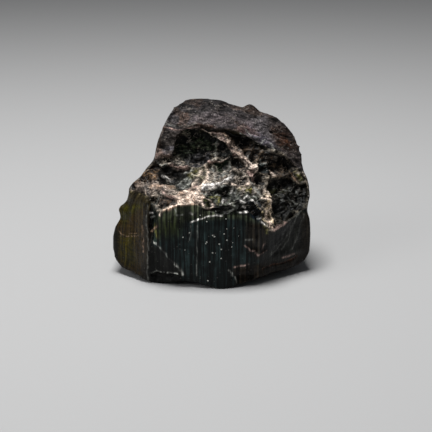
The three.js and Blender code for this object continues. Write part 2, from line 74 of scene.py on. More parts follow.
camera_data = bpy.data.cameras.new("camera")
camera_data.lens = LENS
camera_data.sensor_width = SENSOR
camera_data.clip_start = 0.01
camera = add_object("camera", camera_data)
camera.location = eye * MM
camera.rotation_euler = (math.radians(90) - ELEVATION, 0, 0)
bpy.context.scene.camera = camera
print("camera at, mm:", eye.round(1), "one pixel, mm:", round(MM_PER_PIXEL, 3))


def in_picture(points):
    """The pixel at which each point, in mm, shows in the picture."""
    away = points - eye
    scale = PICTURE_SIDE * LENS / SENSOR / (away @ ahead)
    half = PICTURE_SIDE / 2
    return np.stack([half + away[:, 0] * scale, half - (away @ picture_up) * scale], axis=1)


# %% [markdown]
# Fine relief needs many small faces of even size. The solid's mesh has large and thin triangles, so a copy
# is merged and remeshed to small squares. A voxel remesh suits a stone: it keeps the closed form, and no
# face of a stone has to lie just so. Then the squares that face the camera are cut in four, which puts the
# points a little closer than the picture's pixels there and saves them on the back.

# %% A finer skin from a copy of the solid
GRID_MM = 0.29
WELD_GAP = 1e-6
TURNED_AWAY = -0.05

skin_mesh = stone_node.data.copy()
skin_mesh.name = "stone_skin"
stone = add_object("stone", skin_mesh)


def apply_modifiers(piece):
    """Turns the piece and its modifiers into one plain mesh."""
    bpy.context.view_layer.update()
    seen = piece.evaluated_get(bpy.context.evaluated_depsgraph_get())
    made = bpy.data.meshes.new_from_object(seen)
    old = piece.data
    piece.modifiers.clear()
    piece.data = made
    bpy.data.meshes.remove(old)


weld = stone.modifiers.new("merge", "WELD")
weld.merge_threshold = WELD_GAP
remesh = stone.modifiers.new("even grid", "REMESH")
remesh.mode = "VOXEL"
remesh.voxel_size = GRID_MM * MM
apply_modifiers(stone)

skin = bmesh.new()
skin.from_mesh(stone.data)
skin.normal_update()
eye_at = Vector(eye * MM)
near_faces = [f for f in skin.faces if f.normal.dot((eye_at - f.verts[0].co).normalized()) > TURNED_AWAY]
near_edges = dict.fromkeys(edge for face in near_faces for edge in face.edges)
bmesh.ops.subdivide_edges(skin, edges=list(near_edges), cuts=1, use_grid_fill=True)
bmesh.ops.triangulate(skin, faces=skin.faces[:])
skin.to_mesh(stone.data)
skin.free()
count = len(stone.data.vertices)
print("skin:", count, "points,", len(stone.data.polygons), "triangles")

# %% [markdown]
# The relief is worked out for all points at once, with NumPy arrays in millimetres. These small tools read
# the mesh, average each point with its neighbours and find which way the skin faces.

# %% Mesh tools
place = np.empty(count * 3, np.float32)
stone.data.vertices.foreach_get("co", place)
place = place.reshape(-1, 3).astype(float) / MM

edge_ends = np.empty(len(stone.data.edges) * 2, np.int32)
stone.data.edges.foreach_get("vertices", edge_ends)
edge_ends = edge_ends.reshape(-1, 2)
corner_points = np.empty(len(stone.data.loops), np.int32)
stone.data.loops.foreach_get("vertex_index", corner_points)
triangles = corner_points.reshape(-1, 3)
links = np.bincount(edge_ends.ravel(), minlength=count)[:, None]


def neighbour_mean(values, rounds=1):
    """Each point's value averaged with its neighbours', again for each round."""
    values = values.reshape(count, -1)
    a, b = edge_ends.T
    for _ in range(rounds):
        sums = [np.bincount(a, v[b], count) + np.bincount(b, v[a], count) for v in values.T]
        values = (np.stack(sums, axis=1) / links + values) / 2
    return values


def facing(points):
    """The outward direction at each point."""
    first, second, third = (points[corner] for corner in triangles.T)
    face = np.cross(second - first, third - first)
    total = np.zeros((count, 3))
    for corner in triangles.T:
        for axis in range(3):
            total[:, axis] += np.bincount(corner, face[:, axis], count)
    return total / np.maximum(np.linalg.norm(total, axis=1, keepdims=True), 1e-12)


def ramp(value, low, high):
    """0 below low, 1 above high, and a smooth step between."""
    t = np.clip((value - low) / (high - low), 0, 1)
    return t * t * (3 - 2 * t)


def blend(under, over, share):
    """Lays one colour, or one number, over another by a share from 0 to 1."""
    share = share[:, None] if under.ndim == 2 else share
    return under * (1 - share) + over * share


# %% [markdown]
# Two kinds of repeatable random pattern do most of the work. Soft noise gives lumps and wavy borders. Scoops
# give chips: each irregular cell of space holds a shallow leaning dish, and the dishes meet in sharp rims,
# as where a brittle crystal flakes. Both use a whole-number hash, so that each run makes the same stone. The
# salt is any whole number: a new one makes a pattern of its own.

# %% Random patterns
def hashed(cell, salt):
    """A repeatable number from 0 to 1 for each whole-number cell."""
    x, y, z = (cell[..., i].astype(np.int64) for i in range(3))
    n = (x * 73856093) ^ (y * 19349663) ^ (z * 83492791) ^ (salt * 40503)
    n = (n ^ (n >> 13)) * 1274126177
    n = (n ^ (n >> 16)) & 0xFFFFFF
    return n / 0xFFFFFF


def noise(points, size, salt):
    """Soft noise from -1 to 1 whose lumps are about size mm across; size may differ by axis."""
    p = points / np.asarray(size, float)
    base = np.floor(p).astype(np.int64)
    t = p - base
    t = t * t * (3 - 2 * t)
    total = 0
    for corner in np.ndindex(2, 2, 2):
        weight = np.prod(np.where(corner, t, 1 - t), axis=1)
        total = total + weight * hashed(base + np.array(corner), salt)
    return total * 2 - 1


def layered(points, size, salt, layers=3):
    """Noise with finer, weaker noise on top."""
    size = np.asarray(size, float)
    return sum(noise(points, size / 2**k, salt + k) / 2**k for k in range(layers))


def scoops(points, size, salt, lean, rim):
    """Shell-shaped chips: every cell has a leaning dish and the lowest dish shows.

    Gives the height, how close the point is to a rim, and one number from 0 to 1 for each dish.
    """
    p = points / np.asarray(size, float)
    base = np.floor(p).astype(np.int64)
    lowest = np.full(len(p), 9.0)
    second = np.full(len(p), 9.0)
    pick = np.zeros(len(p))
    for step in np.ndindex(3, 3, 3):
        here = base + np.array(step) - 1
        away = p - here - np.stack([hashed(here, salt + k) for k in range(3)], axis=1)
        tilt = np.stack([hashed(here, salt + 5 + k) for k in range(3)], axis=1) * 2 - 1
        dish = (away * away).sum(axis=1) + (away * tilt).sum(axis=1) * lean
        lower = dish < lowest
        second = np.where(lower, lowest, np.minimum(second, dish))
        lowest = np.where(lower, dish, lowest)
        pick = np.where(lower, hashed(here, salt + 11), pick)
    return lowest, 1 - ramp(second - lowest, 0, rim), pick


# %% [markdown]
# Each kind of surface has its own relief, so the next cell says how much of each kind every point is. On the
# side that the camera sees, the borders follow outlines drawn on the picture. Elsewhere they follow simple
# rules of height. Noise bends every border, because nothing on a stone is straight.

# %% Kinds of surface
CRUST_OUTLINE = [
    (140, 168), (150, 163), (157, 160), (165, 158), (174, 156), (177, 148), (178, 139), (182, 133),
    (190, 130.5), (199, 130), (207, 129), (216, 130), (226, 130), (236, 132), (244, 136), (252, 141),
    (262, 146), (268, 149), (276, 150), (284, 154), (292, 163), (300, 170), (330, 176), (330, 70), (130, 70),
]
BREAK_OUTLINE = [
    (104, 190), (124, 187), (140, 191), (151, 199), (157, 213), (161, 210), (175, 205), (199, 203),
    (206, 210), (214, 212), (230, 212), (250, 212), (262, 220), (264, 230), (273, 231), (287, 222),
    (300, 212), (330, 208), (330, 150), (130, 120), (100, 186),
]


def gap_to_lines(spots, starts, ends):
    """Distance in pixels from each spot on the picture to the nearest of some lines."""
    nearest = np.full(len(spots), 1e9)
    for start, end in zip(starts, ends):
        along = end - start
        t = np.clip(((spots - start) @ along) / (along @ along), 0, 1)
        nearest = np.minimum(nearest, np.linalg.norm(spots - start - t[:, None] * along, axis=1))
    return nearest


def side_of(outline, spots, bend):
    """Signed distance in pixels from an outline on the picture, positive inside."""
    spots = spots + bend
    corners = np.array(outline, float)
    after = np.roll(corners, -1, axis=0)
    inside = np.zeros(len(spots), bool)
    for start, end in zip(corners, after):
        across, down = end - start
        crosses = (start[1] > spots[:, 1]) != (end[1] > spots[:, 1])
        reach = start[0] + (spots[:, 1] - start[1]) * across / (down if down else 1e-9)
        inside ^= crosses & (spots[:, 0] < reach)
    nearest = gap_to_lines(spots, corners, after)
    return np.where(inside, nearest, -nearest)


def wobble(size, salt, pixels):
    """How far, in pixels, a border is pushed about at each point."""
    return np.stack([noise(place, size, salt), noise(place, size, salt + 1)], axis=1) * pixels


on_base = ramp(place[:, 2], 0.02, 0.6)
place += (neighbour_mean(place, 2) - place) * on_base[:, None]
outward = facing(neighbour_mean(place, 3))
to_eye = eye - place
to_eye /= np.linalg.norm(to_eye, axis=1, keepdims=True)
seen = ramp((outward * to_eye).sum(axis=1), -0.05, 0.15)
spots = in_picture(place)
bend = wobble(1.6, 3, 2.0)
fine_bend = wobble(0.7, 5, 1.1)

x, y, z = place.T
far_crust = ramp(z + 0.8 * y + 0.4 * np.maximum(x, 0) + 1.5 * layered(place, 4, 12), 20.5, 22.0)
crust = seen * ramp(side_of(CRUST_OUTLINE, spots, bend), -1, 2) + (1 - seen) * far_crust
far_break = ramp(z + layered(place, 3, 17), 12.5, 13.5) * ramp(-y, 2.5, 5)
# The border of the break crumbles at its left end
crumbling = 3.5 * noise(place, 0.8, 19) * (1 - ramp(spots[:, 0], 140, 158))
broken = seen * ramp(side_of(BREAK_OUTLINE, spots, bend) + crumbling, -1, 1.5) + (1 - seen) * far_break
broken = np.clip(broken * (1 - crust), 0, 1)
prism = np.clip(1 - crust - broken, 0, 1)
print("share of crust, break, prism:", [round(float(v.mean()), 2) for v in (crust, broken, prism)])

# %% [markdown]
# The marks on the front are drawn as strokes: a line over the picture, a width and a height in millimetres,
# a tone and how strongly it shows. A raised stroke is a rubbed edge or a thin ledge, a sunk one is a crack.
# The same strokes later give the paint, so each pale line is also a real ridge that takes the light. The
# dark paint of the sunk strokes is painted shade in the cracks, and the white strokes are partly painted
# glints.

# %% Strokes on the front
# The white tone is partly painted glints on glassy facets, partly pale cracks and edges
TONES = {
    "cream": "e8d3c2", "white": "efeae4", "tan": "a68a74", "grey": "8f908a", "pink": "a98f86",
    "olive": "6f6a2e", "moss": "686534", "straw": "a89a62", "dark": "0e0e0c", "dark_rust": "38241a",
    "green": "1d2a20",
}
SOFT_MM = 0.03
RAISED_STROKES = [
    # width and height in mm, tone, strength, and the line over the picture
    (0.26, 0.3, "cream", 1.0, (197, 198.5), (201, 197.5), (207, 198), (211, 200), (213.5, 204),
     (213, 207), (209, 209), (205, 207), (201, 203), (198, 200)),
    (0.25, 0.1, "moss", 0.8, (211, 195), (216, 193.5), (221, 195), (219, 199)),
    (0.3, 0.1, "moss", 0.75, (239, 187), (244, 183), (250, 184)),
    (0.25, 0.1, "moss", 0.7, (246, 190), (252, 188)),
    (0.35, 0.1, "moss", 0.6, (187, 173), (192, 169), (198, 166)),
    (0.25, 0.1, "moss", 0.5, (190, 177), (196, 173)),
    (0.35, 0.1, "moss", 0.5, (296, 171), (299, 174), (301, 177)),
    (0.3, 0.1, "moss", 0.5, (263, 224), (266, 228), (267, 233)),
    (0.25, 0.1, "moss", 0.35, (155, 224), (156, 232), (158, 238)),
    (0.3, 0.12, "cream", 0.9, (264, 196), (267, 199)),
    (0.25, 0.12, "cream", 0.8, (261, 208), (264, 212)),
    (0.2, 0.12, "white", 0.8, (257, 204), (261, 206)),
    (0.3, 0.12, "cream", 0.9, (266, 219), (268, 222)),
    (0.25, 0.12, "cream", 0.7, (269, 226), (271, 230)),
    (0.2, 0.1, "white", 0.9, (231, 189), (233, 187.5)),
    (0.2, 0.1, "grey", 0.9, (236, 192), (239, 190.5), (241, 192)),
    (0.18, 0.1, "white", 0.6, (224, 196), (223, 200)),
    (0.2, 0.1, "white", 0.9, (228, 203), (231, 202)),
    (0.2, 0.1, "white", 0.8, (244, 197), (247, 194), (250, 195)),
    (0.2, 0.1, "grey", 0.8, (252, 193), (256, 192), (258, 195)),
    (0.18, 0.1, "grey", 0.8, (216, 193), (220, 191.5)),
    (0.16, 0.1, "olive", 0.9, (216, 200), (218, 203)),
    (0.2, 0.1, "white", 0.9, (246, 207), (249, 208)),
    (0.16, 0.1, "grey", 0.8, (233, 209), (230, 211)),
    (0.22, 0.1, "white", 1.0, (261, 222), (264, 224)),
    (0.16, 0.1, "grey", 0.8, (257, 219), (258, 216)),
    (0.16, 0.12, "cream", 0.8, (240, 157), (243, 161), (246, 166)),
    (0.16, 0.12, "cream", 0.9, (246, 155), (248, 160), (251, 165)),
    (0.14, 0.12, "white", 0.8, (250, 153), (253, 158), (256, 162)),
    (0.14, 0.12, "cream", 0.7, (237, 154), (239, 159)),
    (0.12, 0.1, "grey", 0.5, (285, 186), (290, 189), (294, 193)),
    (0.12, 0.1, "grey", 0.5, (288, 196), (293, 198), (299, 203)),
    (0.12, 0.1, "grey", 0.4, (279, 190), (283, 194), (285, 200)),
    (0.12, 0.1, "grey", 0.4, (296, 187), (299, 192), (300, 199)),
    (0.3, 0.15, "pink", 0.9, (160, 189), (166, 194), (172, 197), (178, 198)),
    (0.2, 0.1, "grey", 0.8, (184, 171), (188, 170), (192, 168)),
    (0.25, 0.1, "grey", 0.8, (180, 181), (186, 180), (190, 178)),
    (0.16, 0.15, "pink", 0.75, (158, 130), (163, 127), (170, 127), (176, 130), (183, 131), (190, 128),
     (197, 127.5)),
    (0.12, 0.05, "grey", 0.3, (162, 121), (174, 125), (186, 126), (197, 123)),
    (0.14, 0.1, "grey", 0.7, (240, 133), (248, 137), (254, 141), (260, 143), (266, 139)),
    (0.12, 0.1, "grey", 0.6, (244, 129), (252, 135), (258, 139)),
    (0.14, 0.1, "grey", 0.7, (270, 142), (273, 146), (274, 150)),
    (0.22, 0.25, "grey", 0.7, (157, 161), (160, 163.5), (165, 163), (169, 162.5)),
    (0.45, 0.3, "pink", 0.8, (170, 163), (175, 165), (180, 166), (184, 167.5), (187, 166)),
    (0.16, 0.15, "white", 0.7, (161, 174), (166, 174), (170, 175)),
    (0.3, 0.15, "tan", 0.7, (151, 173), (156, 176)),
    (0.45, 0.2, "tan", 0.7, (150, 185), (158, 184), (168, 185), (172, 183)),
    (0.35, 0.2, "grey", 0.8, (176, 178), (182, 177), (188, 175), (193, 174)),
    (0.5, 0.25, "cream", 0.8, (205, 164), (207, 167), (208, 171), (207, 176), (204, 180), (199, 184),
     (196, 188), (197, 191)),
    (0.45, 0.2, "cream", 0.5, (200, 168), (199, 174), (196, 179), (192, 182)),
    (0.45, 0.2, "pink", 0.8, (183, 187), (190, 186), (196, 184)),
    (0.6, 0.12, "cream", 0.9, (178, 198), (184, 197), (192, 196), (199, 197)),
    (0.5, 0.15, "cream", 1.0, (176, 203), (187, 201), (197, 200)),
    (0.45, 0.2, "cream", 1.0, (160, 209), (166, 207), (172, 204.5), (180, 202)),
    (0.8, 0.1, "cream", 0.9, (186, 192), (191, 192), (196, 191)),
    (0.25, 0.2, "cream", 0.9, (160, 215), (161, 210), (163, 208)),
    (0.34, 0.2, "white", 0.95, (203, 184.5), (208, 183.5), (214, 183), (219, 183), (222, 181),
     (228, 178.5), (231, 176.5)),
    (0.15, 0.15, "grey", 0.6, (205, 186), (210, 187), (217, 186)),
    (0.16, 0.15, "grey", 0.8, (198, 191), (201, 189), (207, 190), (208, 191)),
    (0.22, 0.3, "pink", 0.9, (209, 162), (214, 161), (220, 161), (226, 159), (231, 157), (234, 155.5)),
    (0.15, 0.15, "grey", 0.7, (209, 166), (212, 165), (214, 169), (215, 174), (216, 179)),
    (0.15, 0.15, "grey", 0.7, (209, 170), (208, 176)),
    (0.25, 0.3, "grey", 0.45, (216, 139), (216, 146), (215, 153), (216, 160)),
    (0.15, 0.15, "grey", 0.45, (188, 160), (189, 156), (188, 153)),
    (0.4, 0.18, "pink", 0.35, (199, 132), (207, 134), (213, 136), (220, 137), (226, 140), (229, 145),
     (234, 151), (239, 156), (244, 160), (250, 164), (254, 168)),
    (0.25, 0.2, "tan", 0.5, (217, 132.5), (224, 133.5), (228, 137)),
    (0.3, 0.2, "cream", 0.7, (247, 156), (252, 159), (256, 163), (258, 168), (257, 172)),
    (0.4, 0.2, "white", 0.9, (225, 180), (229, 178), (232, 176)),
    (0.35, 0.25, "cream", 0.9, (233, 182), (240, 184), (246, 181), (249, 178)),
    (0.35, 0.2, "pink", 0.8, (248, 172), (254, 173), (259, 176)),
    (0.45, 0.2, "grey", 0.9, (252, 178), (256, 182), (258, 186), (261, 190)),
    (0.18, 0.2, "grey", 0.9, (262, 158), (264, 161), (268, 162)),
    (0.28, 0.2, "cream", 0.6, (272, 168), (275, 170), (276, 174)),
    (0.25, 0.2, "tan", 0.8, (290, 173), (293, 175), (296, 178)),
    (0.28, 0.2, "cream", 0.6, (265, 187), (268, 190), (271, 194)),
    (0.3, 0.2, "cream", 0.9, (268, 195), (270, 201), (271, 206), (270, 211), (269, 216), (271, 224)),
    (0.3, 0.15, "straw", 0.7, (260, 203), (264, 209), (265, 216), (268, 223)),
    (0.22, 0.2, "white", 0.9, (240, 202.5), (247, 202), (253, 200.5), (259, 201)),
    (0.15, 0.15, "white", 0.8, (240, 213), (244, 213.5), (248, 211)),
    (0.18, 0.15, "white", 1.0, (259, 218), (264, 218)),
    (0.25, 0.15, "grey", 0.8, (235, 197), (239, 196), (240, 199)),
    (0.18, 0.15, "grey", 0.8, (231, 193), (234, 191), (237, 188)),
    (0.2, 0.2, "olive", 0.9, (247, 188), (251, 187), (254, 185)),
    (0.18, 0.15, "grey", 0.7, (221, 186), (226, 185)),
    (0.15, 0.2, "grey", 0.9, (231, 161), (229, 166), (224, 171), (219, 173)),
    (0.14, 0.15, "grey", 0.8, (222, 173), (226, 172), (229, 175), (226, 179)),
    (0.18, 0.15, "grey", 0.7, (233, 205), (238, 206), (236, 210)),
    (0.18, 0.2, "grey", 0.7, (152, 203), (156, 200), (159, 197)),
    (0.2, 0.15, "white", 0.8, (150.5, 212.5), (152, 213)),
    (0.14, 0.15, "grey", 0.8, (151, 217), (154, 216)),
    (0.14, 0.1, "grey", 0.35, (153, 241), (160, 248), (164, 252), (169, 257), (174, 262), (178, 267)),
    (0.25, 0.15, "grey", 0.8, (175, 264), (180, 268), (182, 275)),
    (0.18, 0.15, "tan", 0.8, (151, 232), (154, 229), (157, 226)),
    (0.25, 0.15, "grey", 0.6, (154, 243), (157, 243)),
    (0.13, 0.2, "grey", 0.9, (167, 272), (172, 273), (177, 274)),
    (0.12, 0.2, "grey", 0.5, (151, 273), (157, 271), (164, 272)),
    (0.06, 0.06, "tan", 0.4, (118, 231), (121, 234), (126, 236), (132, 236.5), (138, 236)),
    (0.05, 0.08, "tan", 0.4, (129, 233.5), (137, 233)),
    (0.12, 0.1, "grey", 0.3, (147, 205), (147, 222), (148, 240), (148, 262), (148, 280)),
    (0.12, 0.1, "tan", 0.5, (143, 226), (143, 240), (143.5, 252)),
    (0.1, 0.05, "grey", 0.2, (191, 222), (191, 232), (190, 240)),
    (0.14, 0.06, "grey", 0.3, (197, 222), (197, 250), (197, 276)),
    (0.12, 0.1, "grey", 0.8, (176, 209), (175, 214)),
    (0.13, 0.12, "grey", 0.8, (176, 215), (183, 215)),
    (0.18, 0.12, "white", 0.8, (190, 213), (192, 214.5)),
    (0.1, 0.1, "white", 0.8, (191, 222.5), (195, 221), (199, 219.5), (204, 217.5), (209, 216),
     (216, 215.5), (222, 215.5)),
    (0.17, 0.1, "grey", 0.8, (246, 240), (252, 239.5)),
    (0.14, 0.1, "pink", 0.7, (245, 246), (248, 248), (251, 251), (254, 251)),
    (0.14, 0.1, "pink", 0.6, (256, 253), (259, 255), (263, 253), (266, 251)),
    (0.14, 0.1, "pink", 0.4, (265, 243), (262, 249)),
    (0.32, 0.25, "pink", 0.95, (268, 222), (270, 226), (273, 230), (277, 228), (282, 225), (286, 222)),
    (0.18, 0.15, "grey", 0.9, (229, 270), (232, 273), (232, 276)),
    (0.18, 0.12, "pink", 0.6, (234, 267), (240, 266), (248, 264)),
    (0.2, 0.1, "grey", 0.45, (235, 277), (237, 283)),
    (0.2, 0.08, "grey", 0.16, (300, 212), (294, 222), (288, 232), (283, 241), (276, 249), (271, 254)),
    (0.16, 0.08, "grey", 0.14, (297, 217), (292, 228), (287, 240), (281, 250)),
    (0.3, 0.08, "grey", 0.1, (292, 219), (285, 230), (280, 240), (274, 248)),
    (0.3, 0.08, "grey", 0.08, (301, 224), (297, 236), (290, 250)),
    (0.16, 0.08, "grey", 0.12, (304, 214), (300, 224), (297, 236), (292, 248)),
    (0.2, 0.1, "pink", 0.4, (282, 258), (288, 256), (294, 254)),
]
SUNK_STROKES = [
    (0.25, 0.25, "dark", 0.9, (155, 188), (159, 192), (163, 197)),
    (0.3, 0.2, "dark", 0.7, (226, 168), (232, 166), (240, 167)),
    (0.3, 0.25, "dark", 0.8, (212, 188), (222, 186), (232, 183)),
    # painted shadow under the crust's lip, over a real crevice, in this stroke and the next
    (0.42, 0.6, "dark", 0.95, (202, 127), (207, 130), (214, 132), (222, 131.5), (229, 133), (236, 135.5),
     (243, 138), (249, 141), (256, 144), (262, 148)),
    (0.5, 0.5, "dark", 0.85, (262, 148), (268, 152), (272, 154), (278, 156), (282, 160), (287, 163),
     (291, 167)),
    (0.22, 0.35, "dark", 0.9, (166, 160), (170, 158), (175, 157.5)),
    (0.22, 0.3, "dark", 0.9, (173, 170), (181, 169.5), (187, 169.5)),
    (0.14, 0.2, "dark", 0.9, (157, 192), (160, 194.5), (163, 197)),
    (0.22, 0.3, "dark", 0.6, (271, 131), (279, 133), (286, 136), (293, 139)),
    (0.32, 0.25, "dark", 0.6, (151, 200), (152, 213), (151, 224), (152, 236)),
    (0.22, 0.3, "dark", 0.8, (152, 275), (160, 274), (168, 275), (178, 276)),
    (0.15, 0.15, "dark_rust", 0.6, (262, 269), (270, 266), (280, 263), (290, 260), (297, 257)),
    (0.14, 0.2, "dark", 0.8, (202, 188), (205, 186), (209, 188), (211, 192)),
    (0.2, 0.2, "dark", 0.7, (275, 205), (280, 207), (283, 211)),
    (0.3, 0.2, "dark", 0.7, (301, 180), (305, 186), (306, 194), (305, 202)),
    (0.3, 0.3, "dark", 0.6, (178, 138), (177, 148), (176, 156)),
    # painted shadow under the pink ridge just above
    (0.2, 0.25, "green", 0.9, (215, 164), (222, 164), (228, 161)),
    (0.45, 0.35, "dark", 0.6, (233, 162), (240, 164), (247, 167)),
    (0.45, 0.35, "dark", 0.7, (262, 170), (266, 169), (268, 165)),
    # painted shade deep in the pocket
    (1.6, 0.7, "dark", 0.7, (161, 168), (168, 172), (176, 176)),
]


wobbly_spots = spots + fine_bend * 0.8
flecks = 0.4 + 0.6 * ramp(noise(place, 0.34, 31) + 0.5 * noise(place, 0.8, 32), -0.5, 0.3)


def on_stroke(line, width):
    """How much each point lies on the stroke, from 0 to 1. The width is in mm."""
    corners = np.array(line, float)
    gap_mm = gap_to_lines(wobbly_spots, corners, corners[1:]) * MM_PER_PIXEL
    return seen * np.exp(-((gap_mm / (SOFT_MM + 0.5 * width)) ** 2))


def lay_out(strokes, gaps):
    """The share of every stroke at each point, with its height, tone and strength."""
    laid = []
    for width, high, tone, strong, *line in strokes:
        laid.append((on_stroke(line, width) * gaps, high, tone, strong))
    return laid


raised = lay_out(RAISED_STROKES, flecks)
sunk = lay_out(SUNK_STROKES, 1)
print("strokes:", len(raised), "raised,", len(sunk), "sunk")

# %% [markdown]
# Now the relief itself, in millimetres along the outward direction.
# The break gets scooped chips of three sizes and thin veins over them. The prism gets ribs that run up and
# down, as on any tourmaline. The crust gets lumps, dishes, pits, wrinkles and creases. The flat patch under
# the stone is left as it is, because the stone stands on it.

# %% Relief
# The crust's wrinkles run down to the right, 25 degrees from level
WRINKLE_ANGLE = math.radians(25)
WRINKLE_TURN = np.array([
    [math.cos(WRINKLE_ANGLE), 0, math.sin(WRINKLE_ANGLE)],
    [0, 1, 0],
    [-math.sin(WRINKLE_ANGLE), 0, math.cos(WRINKLE_ANGLE)],
])
COARSE_CHIP_MM, SMALL_CHIP_MM, TINY_CHIP_MM, VEIN_MM = 1.4, 0.6, 0.22, 0.08
RIB_MM, WAVE_MM = 0.13, 0.05
LUMP_MM, PIT_MM, DISH_MM, WRINKLE_MM, CREASE_MM = 0.2, 0.12, 0.3, 0.1, 0.07
AXIS_Y, GIRTH_RADIUS = 2.0, 14.0
FACE_Y, FACE_HALF_WIDTH = -9.1, 9.0
RIB_STRETCH = 14.0
CALM_ZONES = [
    # the cream ledge, the pale spur, the ridge under the crust, the tan ledge and the dark pocket
    [
        (160, 212), (162, 203), (172, 198), (180, 190), (190, 185), (200, 184), (204, 190), (208, 198),
        (200, 204), (178, 207),
    ],
    [(192, 182), (198, 166), (206, 164), (208, 172), (203, 184), (197, 190)],
    [(210, 131), (222, 131), (236, 144), (250, 156), (258, 168), (248, 168), (234, 156), (224, 142)],
    [(157, 163), (167, 165), (188, 170), (184, 180), (170, 184), (157, 180)],
    [(132, 190), (140, 182), (160, 180), (176, 184), (176, 192), (158, 196)],
]
warped = place + 0.25 * np.stack([fine_bend[:, 0], fine_bend[:, 1], fine_bend[:, 0]], axis=1)
coarse, coarse_rim, coarse_pick = scoops(warped, (2.9, 2.4, 1.7), 41, 0.8, 0.07)
small, small_rim, small_pick = scoops(warped, (1.15, 1.0, 0.75), 53, 0.9, 0.12)
tiny, tiny_rim, tiny_pick = scoops(place, (0.6, 0.6, 0.42), 59, 0.9, 0.2)
calm = np.zeros(count)
for outline in CALM_ZONES:
    calm = np.maximum(calm, seen * ramp(side_of(outline, spots, fine_bend), -2, 2))
veins = ramp(-np.abs(layered(warped @ WRINKLE_TURN.T, (1.9, 0.9, 0.8), 105, 2)), -0.07, -0.01)
veins *= ramp(noise(place, 1.3, 107), -0.3, 0.3)
chips = SMALL_CHIP_MM * (small - 0.35) + TINY_CHIP_MM * (tiny - 0.35) + VEIN_MM * veins
break_relief = COARSE_CHIP_MM * (coarse - 0.4) + (1 - 0.75 * calm) * chips

# The ribs are spaced across the front face, and elsewhere round the prism
girth = np.arctan2(x, AXIS_Y - y) * GIRTH_RADIUS
front_face = seen * ramp(FACE_Y - y, -0.5, 0.5) * ramp(FACE_HALF_WIDTH - np.abs(x), -0.5, 0.5)
run = np.where(front_face > 0.5, x, girth)
run_points = np.stack([run, np.zeros(count), z / RIB_STRETCH], axis=1)
ribs = 0.5 * noise(run_points, 1.3, 71) + 0.35 * noise(run_points, 0.55, 72)
ribs += 0.2 * noise(run_points, 0.28, 73)
prism_relief = RIB_MM * ribs + WAVE_MM * layered(place, 1.2, 75)

lumps = layered(place, (3.2, 2.4, 1.9), 81, 4)
pits = -ramp(layered(place, (1.3, 0.9, 0.7), 87, 2), 0.25, 0.8)
dishes = scoops(warped, (1.7, 1.4, 0.9), 83, 0.7, 0.1)[0]
wrinkles = layered(place @ WRINKLE_TURN, (2.4, 0.5, 0.5), 85, 3)
creases = -ramp(-np.abs(layered(warped @ WRINKLE_TURN, (2.6, 1.0, 0.75), 111, 2)), -0.12, -0.01)
crust_relief = LUMP_MM * lumps + PIT_MM * pits + DISH_MM * (dishes - 0.3)
crust_relief += WRINKLE_MM * wrinkles + CREASE_MM * creases

lift = broken * break_relief + prism * prism_relief + crust * crust_relief
for share, high, _, _ in raised:
    lift += 0.6 * share * high
for share, high, _, _ in sunk:
    lift -= share * high

# The solid's outline in the picture is right already, so relief fades within a few pixels of it
BAND_PIXELS = 2
FADE_PIXELS = 5
bands = PICTURE_SIDE // BAND_PIXELS
across, down = spots.T
column, row = np.clip((spots / BAND_PIXELS).astype(int), 0, bands - 1).T
right_edge = np.zeros(bands)
left_edge = np.full(bands, float(PICTURE_SIDE))
top_edge = np.full(bands, float(PICTURE_SIDE))
np.maximum.at(right_edge, row, across)
np.minimum.at(left_edge, row, across)
np.minimum.at(top_edge, column, down)
rim_gap = np.minimum(right_edge[row] - across, across - left_edge[row])
near_rim = 1 - ramp(np.minimum(rim_gap, down - top_edge[column]), 0, FADE_PIXELS)
lift *= np.where(lift > 0, 1 - near_rim, 1 - 0.6 * near_rim)
moved = place + outward * (lift * on_base)[:, None]

# Thin spikes would have broken off long ago, so they are blunted, most of all along the crust's outline
spike_left = 0.12 - 0.08 * near_rim * crust
for _ in range(5):
    smooth = neighbour_mean(moved, 10)
    spike = np.linalg.norm(moved - smooth, axis=1)
    pull = np.maximum(spike - spike_left, 0) / np.maximum(spike, 1e-9)
    moved += (smooth - moved) * (pull * on_base * (0.3 + 0.7 * near_rim))[:, None]
moved[:, 2] = np.maximum(moved[:, 2], 0)
print("relief, mm: from", round(float(lift.min()), 2), "to", round(float(lift.max()), 2))

# %% [markdown]
# Paint follows form on a stone. Edges that stand proud are rubbed pale, and hollows get painted shade. So
# the next cell measures, at two sizes, how far each point stands above or below the smoothed skin.

# %% Edges and hollows
outward_now = facing(moved)
near_smooth = neighbour_mean(moved, 6)
wide_smooth = neighbour_mean(near_smooth, 40)
proud = ((moved - near_smooth) * outward_now).sum(axis=1)
bulge = ((moved - wide_smooth) * outward_now).sum(axis=1)
print("edges stand proud by up to", round(float(np.percentile(proud, 99)), 3), "mm")

# %% [markdown]
# The base colour is painted on the points: first one tone for each kind of surface, then patches that the
# picture shows, then painted shade in hollows, pale wear on edges and painted light on the up-facing parts
# of the break, then the strokes. The finest grain comes later from the material.
# Colours are given as sRGB hex values and turned to linear by one function.

# %% Paint
def linear(code):
    """The linear colour of an sRGB hex value."""
    parts = [int(code[i : i + 2], 16) / 255 for i in (0, 2, 4)]
    return np.array([c / 12.92 if c <= 0.04045 else ((c + 0.055) / 1.055) ** 2.4 for c in parts])


